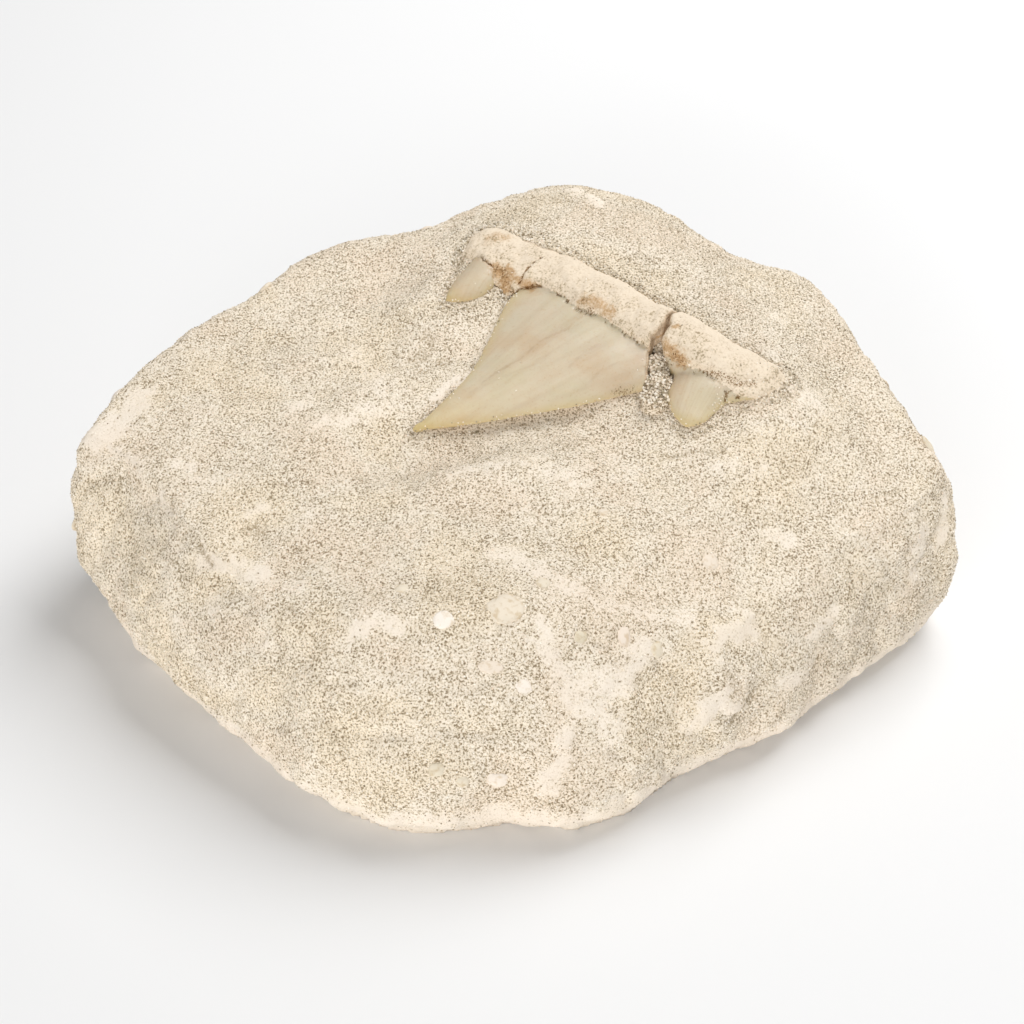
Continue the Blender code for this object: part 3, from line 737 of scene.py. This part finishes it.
def makeToothPiece(name, node):
    mesh = remeshed(mergedCopy(node), tooth["voxel"] * mm)
    relaxed(mesh, tooth["smoothing"])
    points, normals = readPoints(mesh), readPoints(mesh, "normal")
    inverse = np.array(seatInverse)
    local = (points @ inverse[:3, :3].T + inverse[:3, 3]) / mm
    outward = normals @ inverse[:3, :3].T
    x, y, z = local.T
    line = [(seatInverse @ place) / mm for place in onSkin(toothSkin, rootLine)]
    line = sorted(tooth["leftEnd"] + [(place.x, place.y) for place in line])
    ragged = raggedAt(points, 1.1, 3)
    lineY = np.interp(x, [p[0] for p in line], [p[1] for p in line])
    below = lineY - y + ragged * 0.3
    bone = smoothRise(0.12, -0.12, below)
    broken = smoothRise(0.6, 0.8, np.abs(outward[:, 0]))
    broken = broken * smoothRise(*tooth["breakLeft"], x) * smoothRise(*tooth["breakRight"], x)
    bone = np.maximum(bone, broken * (z < 1.6))
    sandy = np.zeros(len(points))
    for pixels, halfWidth, hiding in sandyStrokes.values():
        veil = smoothRise(1.5, 0.5, awayFrom(points, onSkin(toothSkin, pixels)) / halfWidth + ragged * 0.6)
        sandy = np.maximum(sandy, veil)
        bone = np.maximum(bone, veil * hiding)
    leftCusplet = (x < tooth["leftCusplet"][0]) & (y > tooth["leftCusplet"][1])
    onCrown = (node == "tooth") & ~leftCusplet
    middle = np.where(x < 0, -16.0, 22.0)
    fanX = np.where(onCrown, x - tooth["fanPoint"][0], (x - middle) * 2.0)
    fanY = np.where(onCrown, y - tooth["fanPoint"][1], y + 24.0)
    angle = np.arctan2(fanX, fanY) * 38.0
    reach = np.hypot(fanX, fanY)
    along = np.where(onCrown, below / (lineY - tooth["crownTip"][1]), below / tooth["cuspletLength"])
    stain = broken * 0.35
    darkMarksAndShade = np.zeros(len(points))
    fine = raggedAt(points, 0.6, 3, 7.0)
    for strokes, target in ((rustStrokes, stain), (darkStrokes, darkMarksAndShade)):
        for pixels, halfWidth, strength in strokes.values():
            away = awayFrom(points, onSkin(toothSkin, pixels)) / halfWidth
            np.maximum(target, smoothRise(2.1, 0.1, away + fine * 0.9) * strength, out=target)
    crack = np.full(len(points), 1e9)
    for pixels in hairCracks.values():
        crack = np.minimum(crack, awayFrom(points, onSkin(toothSkin, pixels)))
    cracked = smoothRise(0.24, 0.06, crack + ragged * 0.16) * 0.8
    dotted = lumpsAt(points, 0.42) * 0.9 + lumpsAt(points, 2.0, 4.0) * 0.7
    # pits along the root's edge are sunk, and their darkening is painted shade
    shadedPits = smoothRise(0.55, 0.05, np.abs(below - 0.12)) * smoothRise(-0.15, 0.45, dotted) * (z > -1.5)
    vein = np.where((node == "tooth") & leftCusplet, 0.15, 0.0)
    vein = np.maximum(vein, 0.2 * smoothRise(7.0, 11.5, x) * onCrown)  # browner towards the break
    for pixels, strength in veins.values():
        away = awayFrom(points, onSkin(toothSkin, pixels))
        nearLine = np.maximum(smoothRise(0.26, 0.05, away + ragged * 0.25), smoothRise(1.8, 0.0, away) * 0.3)
        vein = np.maximum(vein, nearLine * strength)
    lime = np.zeros(len(points))
    for pixels in limeStrokes.values():
        away = awayFrom(points, onSkin(toothSkin, pixels))
        lime = np.maximum(lime, smoothRise(1.2, 0.3, away + ragged * 0.9))
    rib = lumpsAt(np.stack([angle / 0.7, reach / 12.0, z * 0.1], axis=1) * mm, 1.0) * 0.03
    wave = lumpsAt(points, 4.0) * 0.08
    lumps = lumpsAt(points, 2.4) * 0.2 + lumpsAt(points, 0.95) * 0.14 + lumpsAt(points, 0.5) * 0.07
    proud = tooth["step"] * smoothRise(0.1, -0.5, below)
    toTip = np.hypot(x - tooth["crownTip"][0], y - tooth["crownTip"][1])
    fuller = tooth["bluntness"][1] * smoothRise(tooth["bluntness"][0], 0.3, toTip)
    move = (rib + wave) * (1.0 - bone) + (lumps + proud) * bone + fuller + 0.12 * lime
    move -= tooth["pitDepth"] * shadedPits + tooth["crackDepth"] * cracked + tooth["grooveDepth"] * darkMarksAndShade
    writePoints(mesh, points + normals * (move * mm)[:, None])
    atSand = smoothRise(0.5, 0.0, z + ragged * 0.35)
    onEnamel = 0.006 + 0.55 * atSand
    onBone = 0.008 + 0.05 * smoothRise(-0.1, 0.5, ragged) + 0.5 * smoothRise(24.0, 27.0, x)
    values = {
        "along": np.clip(along, 0, 1),
        "stain": stain,
        "darkMarksAndShade": np.maximum(darkMarksAndShade, np.maximum(cracked, shadedPits * 0.85)),
        "lime": lime,
        "vein": vein,
        # painted light: lighter where the root faces up and back, as on its lit crest
        "paintedTopLight": smoothRise(0.3, 0.8, outward[:, 1] * 0.6 + outward[:, 2] * 0.3),
        "rim": smoothRise(0.9, 0.1, z) * (1.0 - bone) * 0.45,
        "cover": np.clip(bone * onBone + (1.0 - bone) * onEnamel + 0.7 * sandy, 0, 1) * (z > -2.0),
    }
    for key, numbers in values.items():
        giveAttribute(mesh, key, numbers)
    fan = [angle / tooth["fanWidth"], reach / tooth["fanLength"], z * 0.2]
    giveAttribute(mesh, "fan", np.stack(fan, axis=1))
    mesh.shade_smooth()
    obj = newObject(name, mesh, enamel, rootBone)
    for face in mesh.polygons:
        face.material_index = int(np.mean(bone[list(face.vertices)]) > 0.5)
    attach(obj, "root")
    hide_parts(node)
    print(name, "made,", len(mesh.polygons), "faces")
    return obj


mainTooth = makeToothPiece("fossilTooth", "tooth")
lobePiece = makeToothPiece("brokenRootLobe", "broken_root_lobe")


# Sand that has drifted into the break, as a lumpy heap

heap = {
    "voxel": 0.3,  # mm
    # middle in the tooth's frame, then radius, in mm
    "balls": [((12.6, 0.2, -1.6), 1.7), ((13.9, -3.0, -1.0), 2.0), ((15.3, -6.0, -0.7), 2.1),
              ((16.0, -8.5, -0.8), 2.1)],
    "lumps": ((1.6, 0.3), (0.7, 0.2)),  # size and height in mm
}


def makeHeap():
    shape = bmesh.new()
    for place, radius in heap["balls"]:
        middle = Matrix.Translation(seatMatrix @ (Vector(place) * mm))
        bmesh.ops.create_icosphere(shape, subdivisions=3, radius=radius * mm, matrix=middle)
    mesh = remeshed(shape, heap["voxel"] * mm)
    relaxed(mesh, 3)
    points, normals = readPoints(mesh), readPoints(mesh, "normal")
    move = sum(lumpsAt(points, size) * height for size, height in heap["lumps"])
    writePoints(mesh, points + normals * (move * mm)[:, None])
    giveAttribute(mesh, "packing", np.full(len(points), -0.04))
    giveAttribute(mesh, "cover", smoothRise(0.2, 0.6, normals[:, 2]))
    mesh.shade_smooth()
    obj = newObject("sandInBreak", mesh, sandstone)
    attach(obj, "root")
    print("heap made,", len(mesh.polygons), "faces")
    return obj


heapPiece = makeHeap()


# Sand grains, scattered over a skin by its cover attribute

sand = {  # mm: least spacing, size, spread of sizes, and how high the grains pile up
    "overRock": (0.37, 0.3, 0.4, 0.0),
    "roundTooth": (0.3, 0.38, 0.4, 0.2),
    "onTooth": (0.4, 0.28, 0.45, 0.0),
    "inBreak": (0.34, 0.5, 0.35, 0.2),
    "bankWidth": 1.2,  # mm round the tooth that gets the thicker sand
    "quarters": ("Front", "Right", "Back", "Left"),
}


def sandTree():
    tree = bpy.data.node_groups.new("scatteredSand", "GeometryNodeTree")
    face = tree.interface
    face.new_socket("Geometry", in_out="INPUT", socket_type="NodeSocketGeometry")
    for label in ("Spacing", "Size", "Spread", "Pile"):
        face.new_socket(label, in_out="INPUT", socket_type="NodeSocketFloat")
    face.new_socket("Seed", in_out="INPUT", socket_type="NodeSocketInt")
    face.new_socket("Material", in_out="INPUT", socket_type="NodeSocketMaterial")
    face.new_socket("Geometry", in_out="OUTPUT", socket_type="NodeSocketGeometry")
    given = addNode(tree, "NodeGroupInput").outputs
    cover = addNode(tree, "GeometryNodeInputNamedAttribute", {"Name": "cover"})
    settings = {"distribute_method": "POISSON", "Density Max": 2.0e7}
    points = addNode(tree, "GeometryNodeDistributePointsOnFaces", settings, {
        "Mesh": given["Geometry"],
        "Distance Min": given["Spacing"],
        "Density Factor": cover.outputs[0],
        "Seed": given["Seed"],
    })
    settings = {"data_type": "FLOAT", "Seed": 3, 2: 0.0}
    lift = addNode(tree, "FunctionNodeRandomValue", settings, {3: given["Pile"]})
    upwards = addNode(tree, "ShaderNodeVectorMath", {"operation": "SCALE"}, {
        0: points.outputs["Normal"],
        "Scale": lift.outputs[1],
    })
    piled = addNode(tree, "GeometryNodeSetPosition", None, {
        "Geometry": points.outputs["Points"],
        "Offset": upwards.outputs[0],
    })
    grain = addNode(tree, "GeometryNodeMeshUVSphere", {"Segments": 4, "Rings": 2, "Radius": 0.5})  # 8 faces
    settings = {"data_type": "FLOAT_VECTOR", 1: (2 * pi, 2 * pi, 2 * pi)}
    turn = addNode(tree, "FunctionNodeRandomValue", settings, {"Seed": given["Seed"]})
    smallest = addNode(tree, "ShaderNodeMath", {"operation": "SUBTRACT", 0: 1.0}, {1: given["Spread"]})
    largest = addNode(tree, "ShaderNodeMath", {"operation": "ADD", 0: 1.0}, {1: given["Spread"]})
    settings = {"operation": "MULTIPLY"}
    low = addNode(tree, "ShaderNodeMath", settings, {0: smallest.outputs[0], 1: given["Size"]})
    high = addNode(tree, "ShaderNodeMath", settings, {0: largest.outputs[0], 1: given["Size"]})
    scale = addNode(tree, "FunctionNodeRandomValue", {"data_type": "FLOAT_VECTOR", "Seed": 5}, {
        0: low.outputs[0],
        1: high.outputs[0],
    })
    copies = addNode(tree, "GeometryNodeInstanceOnPoints", None, {
        "Points": piled.outputs[0],
        "Instance": grain.outputs["Mesh"],
        "Rotation": turn.outputs["Value"],
        "Scale": scale.outputs["Value"],
    })
    tint = addNode(tree, "FunctionNodeRandomValue", {"data_type": "FLOAT", "Seed": 9})
    settings = {"data_type": "FLOAT", "domain": "INSTANCE", "Name": "tint"}
    coloured = addNode(tree, "GeometryNodeStoreNamedAttribute", settings, {
        "Geometry": copies.outputs["Instances"],
        "Value": tint.outputs[1],
    })
    real = addNode(tree, "GeometryNodeRealizeInstances", None, {"Geometry": coloured.outputs[0]})
    dressed = addNode(tree, "GeometryNodeSetMaterial", None, {
        "Geometry": real.outputs[0],
        "Material": given["Material"],
    })
    addNode(tree, "NodeGroupOutput", None, {0: dressed.outputs[0]})
    return tree


scatteredSand = sandTree()


def facesWhere(mesh, wanted):
    # a copy of a skin with only some of its faces
    shape = bmesh.new()
    shape.from_mesh(mesh)
    others = [f for f in shape.faces if not wanted(f.calc_center_median())]
    bmesh.ops.delete(shape, geom=others, context="FACES")
    return shape


def scatter(name, shape, sizes, seed):
    spacing, size, spread, pile = sizes
    ground = meshOf(shape, name + "Ground")
    obj = newObject(name, ground)
    modifier = obj.modifiers.new("sand", "NODES")
    modifier.node_group = scatteredSand
    values = {"Spacing": spacing * mm, "Size": size * mm, "Spread": spread, "Pile": pile * mm, "Seed": seed}
    values["Material"] = grainMaterial
    for item in scatteredSand.interface.items_tree:
        if item.in_out == "INPUT" and item.name in values:
            modifier[item.identifier] = values[item.name]
    grains = evaluatedMesh(obj)
    obj.modifiers.clear()
    obj.data = grains
    grains.name = name
    bpy.data.meshes.remove(ground)
    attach(obj, "root")
    print(name, "made,", len(grains.polygons), "faces")


def quarterOf(middle):
    turn = (np.arctan2(middle.y, middle.x) + 0.75 * pi) % (2 * pi)
    return int(turn / (0.5 * pi))


def nearTooth(middle):
    return toothSkin.find_nearest(middle, sand["bankWidth"] * mm)[0] is not None


def everywhere(middle):
    return True


for index, quarter in enumerate(sand["quarters"]):
    ground = facesWhere(rockPiece.data, lambda middle: quarterOf(middle) == index)
    scatter("sandGrains" + quarter, ground, sand["overRock"], index + 1)
scatter("sandRoundTooth", facesWhere(rockPiece.data, nearTooth), sand["roundTooth"], 21)
scatter("sandOnTooth", facesWhere(mainTooth.data, everywhere), sand["onTooth"], 22)
scatter("sandOnLobe", facesWhere(lobePiece.data, everywhere), sand["onTooth"], 23)
scatter("grainsInBreak", facesWhere(heapPiece.data, everywhere), sand["inBreak"], 24)


# Floor and light

studio = {
    "floor": 4.0,  # m across
    "worldStrength": 0.33,
    "key": {"place": (0.28, 0.28, 0.57), "size": 0.46, "power": 4.5},
    "fill": {"place": (-0.26, -0.76, 0.13), "size": 0.5, "power": 6.2},
}


def makeStudio():
    shape = bmesh.new()
    half = studio["floor"] / 2
    corners = [shape.verts.new((x * half, y * half, 0.0)) for x, y in ((-1, -1), (1, -1), (1, 1), (-1, 1))]
    shape.faces.new(corners)
    floor = newObject("floor", meshOf(shape, "floor"), palePlaster())
    for name in ("key", "fill"):
        setup = studio[name]
        data = bpy.data.lights.new(name, "AREA")
        data.size = setup["size"]
        data.energy = setup["power"]
        lamp = bpy.data.objects.new(name, data)
        bpy.context.scene.collection.objects.link(lamp)
        lamp.location = setup["place"]
        lamp.rotation_euler = (-lamp.location).to_track_quat("-Z", "Y").to_euler()
        lamp.visible_glossy = name == "key"  # the low fill would glare on the enamel from behind
    world = bpy.data.worlds.new("studioWorld")
    bpy.context.scene.world = world
    world.use_nodes = True
    background = world.node_tree.nodes["Background"]
    background.inputs["Color"].default_value = (1.0, 1.0, 1.0, 1.0)
    background.inputs["Strength"].default_value = studio["worldStrength"]
    bpy.context.scene.view_settings.view_transform = "Standard"


makeStudio()
print("studio made")
